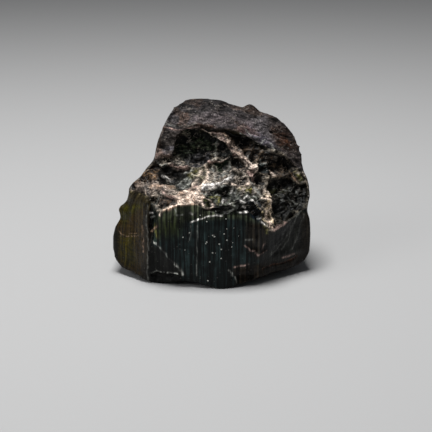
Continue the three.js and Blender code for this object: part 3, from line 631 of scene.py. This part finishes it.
PATCHES = [
    # what it is, colour of its flats, colour and strength of its edges, softness in pixels, and outline
    ("upper face", "363a2c", "8a8a76", 0.45, 4, (157, 216), (162, 212), (175, 207), (198, 204),
     (214, 211), (250, 213), (262, 222), (230, 217), (193, 219), (176, 224), (160, 232)),
    ("dark border of the face", "10140e", "5a5c50", 0.15, 1.5, (215, 210), (238, 210), (250, 209),
     (250, 216), (238, 216), (216, 216)),
    ("olive corner", "1b200e", "7a7a55", 0.4, 7, (155, 218), (172, 216), (182, 222), (178, 236),
     (158, 237)),
    ("rib strip", "1c1812", "8a8478", 0.4, 1.5, (142, 198), (150, 200), (151, 240), (151, 284),
     (142, 282)),
    ("left face", "2c2109", "6b5f45", 0.4, 2, (108, 190), (143, 196), (143, 275), (108, 275)),
    ("yellow band", "2e2800", "5c5822", 0.3, 4, (118, 236), (134, 236), (137, 262), (128, 268),
     (119, 258)),
    ("yellow band above", "2b2806", "6b6630", 0.4, 3, (124, 196), (140, 198), (143, 207), (132, 214),
     (124, 226), (120, 216)),
    ("left margin", "181710", "4a4638", 0.2, 3, (106, 224), (117, 226), (118, 262), (134, 276),
     (106, 276)),
    ("lower left facet", "0b0c0a", "4a4a42", 0.3, 2, (150, 246), (157, 246), (170, 258), (182, 272),
     (182, 286), (148, 286)),
    ("right of the face", "1a1712", "7a6a58", 0.5, 4, (246, 222), (262, 222), (272, 232), (266, 262),
     (256, 256), (246, 246)),
    ("scoop", "151613", "6a6a64", 0.3, 3, (262, 264), (266, 250), (273, 236), (286, 223), (300, 213),
     (312, 211), (314, 262), (280, 262)),
    ("scoop shade", "08090a", "3a3e40", 0.3, 3, (268, 252), (274, 236), (288, 223), (296, 216),
     (286, 236), (276, 250)),
    ("right margin", "1c1812", "6a6052", 0.3, 4, (298, 262), (300, 240), (303, 214), (316, 212),
     (316, 266)),
    ("brown foot", "1c1711", "6b5240", 0.5, 3, (232, 268), (262, 263), (284, 260), (308, 252), (312, 262),
     (262, 282), (236, 290)),
    ("break", "34312a", "b5a99a", 0.75, 3, (126, 200), (131, 182), (146, 168), (157, 160), (176, 157),
     (205, 162), (233, 155), (258, 168), (273, 195), (273, 230), (264, 226), (262, 205), (200, 203),
     (157, 213), (150, 202)),
    ("left shoulder", "1c160d", "6c5440", 0.45, 3, (128, 186), (140, 172), (157, 160), (160, 178),
     (150, 184), (140, 188), (126, 190)),
    ("rust stain", "3e2c1a", "94744c", 0.5, 3, (140, 170), (153, 169), (155, 176), (142, 179)),
    ("tan ledge", "4c433c", "b4a498", 0.75, 3, (130, 190), (140, 181), (160, 179), (178, 183), (180, 190),
     (166, 195), (152, 194), (136, 193)),
    ("cream ledge", "8c7462", "fae4d2", 1.0, 2, (160, 212), (162, 204), (176, 201), (172, 197),
     (180, 191), (190, 186), (198, 184), (203, 189), (206, 197), (200, 203), (178, 206.5)),
    ("white band", "4a4640", "f0e6dc", 0.6, 1, (203, 184), (212, 182.5), (222, 181), (230, 177),
     (232, 179), (224, 184), (214, 186.5), (204, 187)),
    ("pale spur", "3c3b2a", "c4bca0", 0.65, 3, (189, 178), (194, 168), (203, 163), (208, 167), (207, 177),
     (202, 183), (196, 186), (190, 183)),
    ("dark steps", "040603", "a8ae9c", 0.22, 1.5, (205, 190), (212, 187), (230, 184), (238, 187),
     (250, 190), (264, 194), (264, 204), (250, 204), (232, 210), (214, 212), (208, 202)),
    ("blue notch", "0c1116", "707880", 0.4, 2, (250, 203), (259, 203), (263, 214), (258, 222),
     (250, 216)),
    ("red patch", "1a140f", "7a6454", 0.3, 1, (156, 197), (168, 194.5), (179, 198.5), (173, 204),
     (159, 208)),
    # painted shadow under the pink ridge just above
    ("green hollow", "0c150c", "5a6a50", 0.3, 1.5, (213, 163), (222, 163), (229, 160), (224, 169),
     (219, 172)),
    ("brown hollow", "1a1614", "907868", 0.3, 1.5, (231, 164), (238, 161), (250, 167), (246, 170),
     (234, 169)),
    ("reddish facet", "6d564d", "d0b0a0", 0.7, 2, (233, 170), (246, 170), (245, 179), (235, 179)),
    ("jumble", "1f1d18", "bcaea0", 0.6, 3, (217, 172), (232, 170), (248, 168), (262, 176), (264, 190),
     (244, 190), (228, 184)),
    # painted shade: the recess and its right side, under the crust's lip, are painted dark for the shadow
    # there
    ("recess", "1c2218", "56604a", 0.5, 2, (180, 138), (187, 131), (199, 132), (210, 137), (216, 140),
     (216, 152), (206, 158), (195, 162), (186, 159), (178, 152)),
    ("recess floor", "1e1e1f", "6a6668", 0.6, 2.5, (184, 155), (200, 153), (212, 150), (210, 162),
     (196, 165), (186, 163)),
    ("recess right", "080a08", "302e28", 0.3, 1.5, (218, 139), (223, 142), (233, 152), (228, 156),
     (219, 158)),
    # painted shade: the deep pocket is painted near black
    ("pocket", "040404", "4a4844", 0.08, 1.5, (157, 164), (163, 163.5), (167, 165), (174, 168),
     (188, 170.5), (186, 174), (178, 178), (176, 182), (166, 183), (156, 178)),
    ("right ridge", "685b52", "b8a494", 0.6, 1.5, (214, 132), (222, 131), (232, 137), (240, 146),
     (252, 155), (260, 166), (256, 171), (244, 165), (234, 156), (226, 144), (218, 137)),
    ("right ridge foot", "8a785a", "f6dfc0", 0.95, 1.5, (266, 190), (270, 192), (273, 202), (273, 214),
     (274, 228), (268, 227), (268, 208)),
    ("end of the ridge", "85736a", "f2e2d2", 0.85, 1.5, (242, 151), (250, 154), (259, 163), (258, 171),
     (250, 168), (244, 160)),
    # painted shade in the crevice under the crust's lip
    ("crevice side", "100d0a", "52402f", 0.3, 1.5, (226, 134), (238, 136), (252, 144), (264, 150),
     (272, 157), (262, 160), (250, 154), (240, 147), (232, 140)),
    ("crumbled top of the left face", "221d10", "857a58", 0.7, 3, (124, 189), (142, 191), (151, 199),
     (151, 212), (140, 204), (122, 206), (116, 202)),
    ("grey-green steps", "1b1f1a", "8a8c84", 0.45, 2.5, (166, 176), (190, 173), (196, 182), (184, 188),
     (168, 186)),
    ("inside of the loop", "1a1e0c", "50582c", 0.4, 0.8, (201, 200), (208, 199.5), (212, 202), (213, 206),
     (208, 208), (204, 205)),
    ("orange dot", "9c5c24", "b87838", 0.5, 0.7, (192.5, 197.5), (195.5, 197.5), (196, 200),
     (193, 200.5)),
    ("right hollow", "040504", "5c5a50", 0.14, 2.5, (270, 184), (276, 178), (292, 178), (308, 186),
     (308, 206), (296, 212), (284, 222), (276, 218), (274, 200)),
    ("olive hollow", "14150a", "40401c", 0.3, 2, (272, 184), (288, 184), (286, 194), (273, 192)),
    ("brown rubble", "1a1612", "84705c", 0.4, 3, (256, 150), (270, 152), (284, 164), (300, 172),
     (300, 180), (276, 178), (262, 172)),
    ("right dark spot", "0a0c0c", "304040", 0.3, 1.5, (262, 160), (270, 162), (270, 173), (262, 172)),
]
CRUST_SHADES = [
    # what it is, how light it is beside the rest, its tint, softness in pixels, and outline
    ("top rim", 0.42, "ffffff", 8, (150, 60), (290, 60), (300, 116), (262, 116), (240, 111), (210, 108),
     (180, 111), (165, 122), (150, 122)),
    ("left block", 0.4, "fff8ea", 2.5, (145, 121), (165, 130), (180, 131), (182, 134), (178, 147),
     (166, 149), (145, 160)),
    ("left block foot", 4.2, "e8ecf4", 2.5, (146, 158), (158, 149), (176, 148), (176, 157), (160, 161)),
    ("right end", 0.5, "fff2ea", 6, (266, 100), (320, 100), (320, 180), (292, 166), (278, 150),
     (270, 132)),
    ("dark blocks at the right", 0.5, "ffffff", 2, (284, 122), (298, 128), (300, 142), (290, 140),
     (280, 128)),
    ("rust at the right", 0.9, "ffd0a8", 3, (270, 128), (286, 132), (292, 148), (284, 150), (276, 140)),
    ("lilac lip", 1.7, "eeeeff", 3, (236, 127), (250, 126), (268, 138), (276, 148), (262, 147),
     (250, 141), (240, 136)),
    ("light middle", 1.15, "fbf2f2", 6, (186, 114), (222, 112), (250, 118), (256, 128), (240, 130),
     (222, 127), (190, 125)),
    ("brown patch", 0.8, "ffdcc0", 2, (184, 126), (198, 123), (214, 126), (210, 129), (190, 130)),
]
SURFACE = {
    "face": "0f1717", "flank": "241f12", "glass": "121310", "shelf": "3c3830", "worn": "b8aa98",
    "crust": "4a4647", "crust_dark": "2a2727", "crust_rust": "46362c", "crust_fleck": "a0948e",
}


def all_over(name):
    """One surface colour on every point."""
    return np.tile(linear(SURFACE[name]), (count, 1))


front_share = seen * ramp(-y, 6, 9)
flank_share = ramp(layered(place, (4, 4, 9), 91), -0.4, 0.5) * (1 - front_share)
shelf_share = ramp(layered(place, 3, 93), -0.3, 0.4)
tint = blend(all_over("face"), linear(SURFACE["flank"]), flank_share)
tint = blend(tint, blend(all_over("glass"), linear(SURFACE["shelf"]), shelf_share), broken)
edge_tint = all_over("worn")
edge_strength = np.full(count, 0.45)
for _, flat, edge, strength, soft, *outline in PATCHES:
    share = seen * ramp(side_of(outline, spots, bend * 0.7 + fine_bend), -soft, soft) * (1 - crust)
    tint = blend(tint, linear(flat), share)
    edge_tint = blend(edge_tint, linear(edge), share)
    edge_strength = blend(edge_strength, strength, share)

# Each chip of the break has its own shade, and thin fibres run over them all
chip_shade = (0.3 + 1.0 * coarse_pick) * (0.4 + 1.1 * small_pick) * (0.6 + 0.8 * tiny_pick)
chip_shade = blend(chip_shade, 1.0, 0.6 * calm)
fibres = layered(place @ WRINKLE_TURN.T, (1.4, 0.5, 0.24), 99, 2)
tint *= blend(np.ones(count), chip_shade * (1 + 0.4 * fibres), broken)[:, None]

crust_streak = ramp(layered(place, (3.5, 1.6, 0.9), 95, 3), -0.45, 0.5)
rust_share = 0.6 * ramp(layered(place, 2.2, 97), 0.1, 0.6)
crust_colour = blend(all_over("crust_dark"), linear(SURFACE["crust"]), crust_streak)
crust_colour = blend(crust_colour, linear(SURFACE["crust_rust"]), rust_share)
for _, shade, hue, soft, *outline in CRUST_SHADES:
    share = seen * ramp(side_of(outline, spots, bend), -soft, soft)
    crust_colour *= blend(np.ones((count, 3)), shade * linear(hue), share)
# Painted shade: the crust is darker in its creases and wrinkle troughs and lighter on the wrinkle crests,
# with random grain on top
crust_grain_and_crease_shade = 1.1 + 0.5 * wrinkles + 0.6 * creases + 0.35 * noise(place, 0.35, 98)
crust_colour *= np.clip(crust_grain_and_crease_shade, 0.2, 2)[:, None]
tint = blend(tint, crust_colour, crust)
edge_tint = blend(edge_tint, linear(SURFACE["crust_fleck"]), crust)
edge_strength = blend(edge_strength, 0.3, crust)

# Painted shade: points that sit in hollows are darkened, most on the break
hollow_shade = ramp(-proud, 0.0, 0.05) + 0.8 * ramp(-bulge, 0.05, 0.35)
tint *= (1 - np.clip(0.9 * hollow_shade * (broken + 0.6 * crust + 0.25 * prism), 0, 0.92))[:, None]
rims = np.clip(coarse_rim + 0.8 * small_rim + 0.35 * tiny_rim, 0, 1) * broken * (1 - 0.5 * calm)
rubbed = np.maximum(ramp(proud, 0.01, 0.06), rims) * ramp(noise(place, 0.5, 101), -0.4, 0.3)
rubbed = np.maximum(rubbed, 0.9 * veins * broken)
rubbed *= blend(np.ones(count), ramp(noise(place, 0.4, 109), -0.1, 0.4), prism)
# Painted light: the up-facing parts of the break are painted paler, as if lit from above, on top of the
# rubbed wear
upward_light = ramp(outward_now[:, 2], 0.3, 0.85) * ramp(layered(place, 0.7, 103), -0.1, 0.5)
wear_and_top_light = np.clip(rubbed + 0.55 * upward_light * broken, 0, 1) ** 1.5 * edge_strength * (1 - 0.7 * prism)
tint = blend(tint, edge_tint, wear_and_top_light)

# Painted shade: the faces grow darker towards the foot
tint *= blend(np.ones(count), 0.55 + 0.45 * ramp(z, 1, 6), prism)[:, None]
for share, _, tone, strong in sunk + raised:
    tint = blend(tint, linear(TONES[tone]), np.clip(share * strong * 1.1, 0, 1))
roughness = blend(0.3 + 0.2 * small_pick, 0.7, np.clip(crust + wear_and_top_light, 0, 1))
roughness = blend(roughness, 0.36, prism)
# Painted glints, partly pale specks: how many bright points each kind of surface gets
glints_and_specks = 0.3 * crust + 0.4 * broken + 0.1 * prism
print("mean tint:", tint.mean(axis=0).round(3))

# %% Put the shape and the paint on the mesh
stone.data.vertices.foreach_set("co", (moved * MM).astype(np.float32).ravel())
stone.data.update()
for polygon in stone.data.polygons:
    polygon.use_smooth = True


def keep_on_points(name, values):
    """Stores a number or a colour on every point of the stone."""
    if values.ndim == 1:
        layer = stone.data.attributes.new(name, "FLOAT", "POINT")
        layer.data.foreach_set("value", values.astype(np.float32))
        return
    layer = stone.data.attributes.new(name, "FLOAT_COLOR", "POINT")
    rgba = np.concatenate([values, np.ones((count, 1))], axis=1)
    layer.data.foreach_set("color", rgba.astype(np.float32).ravel())


keep_on_points("tint", np.clip(tint, 0, 1))
keep_on_points("roughness", roughness)
keep_on_points("glints_and_specks", np.clip(glints_and_specks, 0, 1))
keep_on_points("ribbed", prism * (0.45 + 0.55 * front_face))
keep_on_points("veined", np.clip(broken * edge_strength + 0.2 * crust, 0, 1))
keep_on_points("run", run)

# %% [markdown]
# Light grains of dust cling to the dark face, each about a fifth of a millimetre across. They are real
# grains on the real thing, so each is a small flattened ball that sits on the skin. All are one piece.

# %% Dust on the face
DUST_SPOTS = [
    (206, 244), (207, 242), (214, 237), (213, 235), (219, 244), (227, 240), (234, 228), (227, 229),
    (207, 222), (213, 253), (215, 253), (221, 258), (185, 250), (233, 243), (232, 247), (208, 281),
    (216, 211), (200, 215), (183, 237), (224, 234), (221, 249), (210, 262), (190, 233), (238, 236),
    (226, 219),
]
GRAIN_RADIUS_MM = 0.11

ball = bmesh.new()
bmesh.ops.create_icosphere(ball, subdivisions=1, radius=1)
ball_points = np.array([v.co[:] for v in ball.verts])
ball_faces = np.array([[v.index for v in f.verts] for f in ball.faces])
ball.free()

grain_points, grain_faces = [], []
faces_camera = np.where(seen > 0.9)[0]
spots_now = in_picture(moved)
for i, spot in enumerate(DUST_SPOTS):
    here = faces_camera[np.argmin(np.linalg.norm(spots_now[faces_camera] - spot, axis=1))]
    radius = GRAIN_RADIUS_MM * (0.6 + 0.8 * hashed(np.array([i, 7, 3]), 5))
    shape = ball_points * radius * np.array([1.0, 0.6, 0.8])
    grain_faces.append(ball_faces + len(ball_points) * i)
    grain_points.append(moved[here] + outward_now[here] * radius * 0.3 + shape)
dust_mesh = bpy.data.meshes.new("dust_grains")
dust_mesh.from_pydata((np.concatenate(grain_points) * MM).tolist(), [], np.concatenate(grain_faces).tolist())
dust = add_object("dust_grains", dust_mesh)


def plain_paint(name, code, roughness):
    """A material of one colour."""
    made = bpy.data.materials.new(name)
    made.use_nodes = True
    shader = made.node_tree.nodes["Principled BSDF"]
    shader.inputs["Base Color"].default_value = (*linear(code), 1)
    shader.inputs["Roughness"].default_value = roughness
    return made


# Mineral dust, pale and matte: to the eye it is the bright dots that show how dark and smooth the face is
dust_mesh.materials.append(plain_paint("mineral_dust", "b9bab2", 0.8))
print("dust grains:", len(DUST_SPOTS))

# %% [markdown]
# One material serves the whole stone, because its kinds of surface run into each other. Tourmaline is a hard
# silicate with an IOR of 1.63. Fresh faces are glassy, and the crust and the pale rubbed ledges are dull.
# The painted tint carries the colour, and nodes add grain finer than the mesh: thin light lines down the
# prism that are partly painted highlight, pale lines over the break and the crust, and bright points over
# the break and the crust that are partly painted glints.

# %% Material
material = bpy.data.materials.new("tourmaline_rough_crystal")
material.use_nodes = True
tree = material.node_tree
tree.nodes.clear()

# Where a Mix node keeps its sockets when it mixes colours
COLOUR_SHARE, COLOUR_UNDER, COLOUR_OVER, COLOUR_RESULT = 0, 6, 7, 2


def node(kind, links=None, **settings):
    """Adds a shader node, sets its properties and inputs, and links what feeds it."""
    made = tree.nodes.new(kind)
    for name, value in settings.items():
        if name in made.inputs:
            made.inputs[name].default_value = value
        else:
            setattr(made, name, value)
    for socket, source in (links or {}).items():
        tree.links.new(source, made.inputs[socket])
    return made


def kept(name, socket="Fac"):
    """What was stored on the points under a name."""
    return node("ShaderNodeAttribute", attribute_name=name).outputs[socket]


def cloudy(vector, scale, detail, roughness):
    """Noise from 0 to 1, with as many lumps to one unit of the vector as the scale says."""
    settings = {"Scale": scale, "Detail": detail, "Roughness": roughness}
    return node("ShaderNodeTexNoise", {"Vector": vector}, **settings).outputs["Fac"]


def maths(kind, first, second):
    """A maths node of two values, each a socket or a number."""
    made = tree.nodes.new("ShaderNodeMath")
    made.operation = kind
    for socket, value in zip(made.inputs, (first, second)):
        if isinstance(value, float):
            socket.default_value = value
        else:
            tree.links.new(value, socket)
    return made.outputs[0]


def spread(value, low, high, least, most):
    """Stretches the range low to high of a value over least to most."""
    made = node("ShaderNodeMapRange", {"Value": value})
    for name, number in (("From Min", low), ("From Max", high), ("To Min", least), ("To Max", most)):
        made.inputs[name].default_value = number
    return made.outputs["Result"]


def lay_over(share, under, code):
    """Lays one plain colour over another by a share."""
    made = node("ShaderNodeMix", {COLOUR_SHARE: share, COLOUR_UNDER: under}, data_type="RGBA")
    made.inputs[COLOUR_OVER].default_value = (*linear(code), 1)
    return made.outputs[COLOUR_RESULT]


ribbed_here = kept("ribbed")
where = node("ShaderNodeTexCoord").outputs["Object"]
height_here = node("ShaderNodeSeparateXYZ", {"Vector": where}).outputs["Z"]

# Ribs 0.4 mm apart round the prism, drawn out 25 times along its height, and broken into lengths
drawn_out = maths("MULTIPLY", height_here, 40.0)
rib_place = node("ShaderNodeCombineXYZ", {"X": kept("run"), "Z": drawn_out}).outputs[0]
rib_noise = cloudy(rib_place, 2.6, 4, 0.7)
length_noise = cloudy(where, 700, 2, 0.6)
# The pale rib lines are partly the striations' own colour and partly a painted highlight along them
rib_pale_and_highlight = spread(rib_noise, 0.46, 0.66, 0.35, 6.0)
rib_value = maths("MULTIPLY", rib_pale_and_highlight, spread(length_noise, 0.35, 0.65, 0.45, 1.4))

# Wrinkles a third of a millimetre thick, and grain a quarter across, over the crust and the break
lean = (0, -WRINKLE_ANGLE, 0)
turned = node("ShaderNodeMapping", {"Vector": where}, Rotation=lean, Scale=(900, 1300, 2900)).outputs[0]
wrinkle_noise = cloudy(turned, 1, 4, 0.65)
wrinkle_light = spread(wrinkle_noise, 0.38, 0.62, 0.35, 1.8)
grain_light = spread(cloudy(where, 4200, 3, 0.7), 0.4, 0.62, 0.4, 1.75)
grain_value = maths("MULTIPLY", wrinkle_light, grain_light)
shade = node("ShaderNodeMix", {"Factor": ribbed_here, "A": grain_value, "B": rib_value}).outputs["Result"]
painted = kept("tint", "Color")
shaded = node("ShaderNodeVectorMath", {0: painted, "Scale": shade}, operation="SCALE").outputs[0]

# Thin pale lines that wander over the break and the crust, in patches
drawn = node("ShaderNodeMapping", {"Vector": turned}, Scale=(0.55, 0.55, 0.35)).outputs[0]
off_line = maths("ABSOLUTE", maths("SUBTRACT", cloudy(drawn, 1, 2, 0.5), 0.5), 0.0)
thin_line = spread(off_line, 0.004, 0.022, 1.0, 0.0)
line_patches = maths("MULTIPLY", kept("veined"), spread(length_noise, 0.46, 0.6, 0.0, 0.9))
veined_colour = lay_over(maths("MULTIPLY", thin_line, line_patches), shaded, "cdc0b2")

# Painted glints, partly pale specks: bright points about 0.2 mm across, in one cell of five at most
cells = node("ShaderNodeTexVoronoi", {"Vector": where}, Scale=2300.0)
chosen = node("ShaderNodeSeparateColor", {"Color": cells.outputs["Color"]}).outputs["Red"]
dot = spread(cells.outputs["Distance"], 0.12, 0.3, 1.0, 0.0)
point = maths("MULTIPLY", dot, spread(chosen, 0.8, 1.0, 0.0, 1.0))
colour = lay_over(maths("MULTIPLY", point, kept("glints_and_specks")), veined_colour, "d6d2cc")

height = node("ShaderNodeMix", {"Factor": ribbed_here, "A": wrinkle_noise, "B": rib_noise}).outputs["Result"]
bump = node("ShaderNodeBump", {"Height": height}, Strength=0.7, Distance=0.0002).outputs[0]

# The low specular level keeps the dark face dark, where a normal one turns it grey under soft light
surface = node(
    "ShaderNodeBsdfPrincipled",
    {"Base Color": colour, "Roughness": kept("roughness"), "Normal": bump},
    **{"IOR": 1.63, "Specular IOR Level": 0.09},
)
node("ShaderNodeOutputMaterial", {"Surface": surface.outputs[0]})
stone.data.materials.clear()
stone.data.materials.append(material)
print("material:", material.name, "with", len(tree.nodes), "nodes")

# %% [markdown]
# The stone stands on a plain pale floor under soft light from above, with a weaker light from the left. The
# dark face needs little light from the front, so the world itself stays dim.

# %% Floor and light
FLOOR_HALF = 0.6
floor_mesh = bpy.data.meshes.new("floor")
floor_signs = [(-1, -1), (1, -1), (1, 1), (-1, 1)]
floor_corners = [(FLOOR_HALF * right, FLOOR_HALF * back, 0) for right, back in floor_signs]
floor_mesh.from_pydata(floor_corners, [], [(0, 1, 2, 3)])
floor = add_object("floor", floor_mesh)
floor_mesh.materials.append(plain_paint("pale_matte_floor", "bcbcbc", 0.9))


def soft_light(name, at, aim, side, power):
    """A square soft box, in metres, turned towards its aim."""
    data = bpy.data.lights.new(name, "AREA")
    data.shape = "SQUARE"
    data.size = side
    data.energy = power
    light = add_object(name, data)
    light.location = at
    light.rotation_euler = (Vector(aim) - Vector(at)).to_track_quat("-Z", "Y").to_euler()


MIDDLE = (0, 0, 0.01)
soft_light("overhead", (-0.03, 0.0, 0.3), MIDDLE, 0.12, 1.0)
soft_light("left_fill", (-0.3, -0.16, 0.2), MIDDLE, 0.2, 0.25)
world = bpy.data.worlds.new("studio")
world.use_nodes = True
sky = world.node_tree.nodes["Background"]
sky.inputs["Color"].default_value = (0.6, 0.62, 0.65, 1)
sky.inputs["Strength"].default_value = 0.12
bpy.context.scene.world = world
bpy.context.scene.view_settings.view_transform = "Standard"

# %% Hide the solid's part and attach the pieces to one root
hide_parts("tourmaline")
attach(stone, "root")
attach(dust, "root")
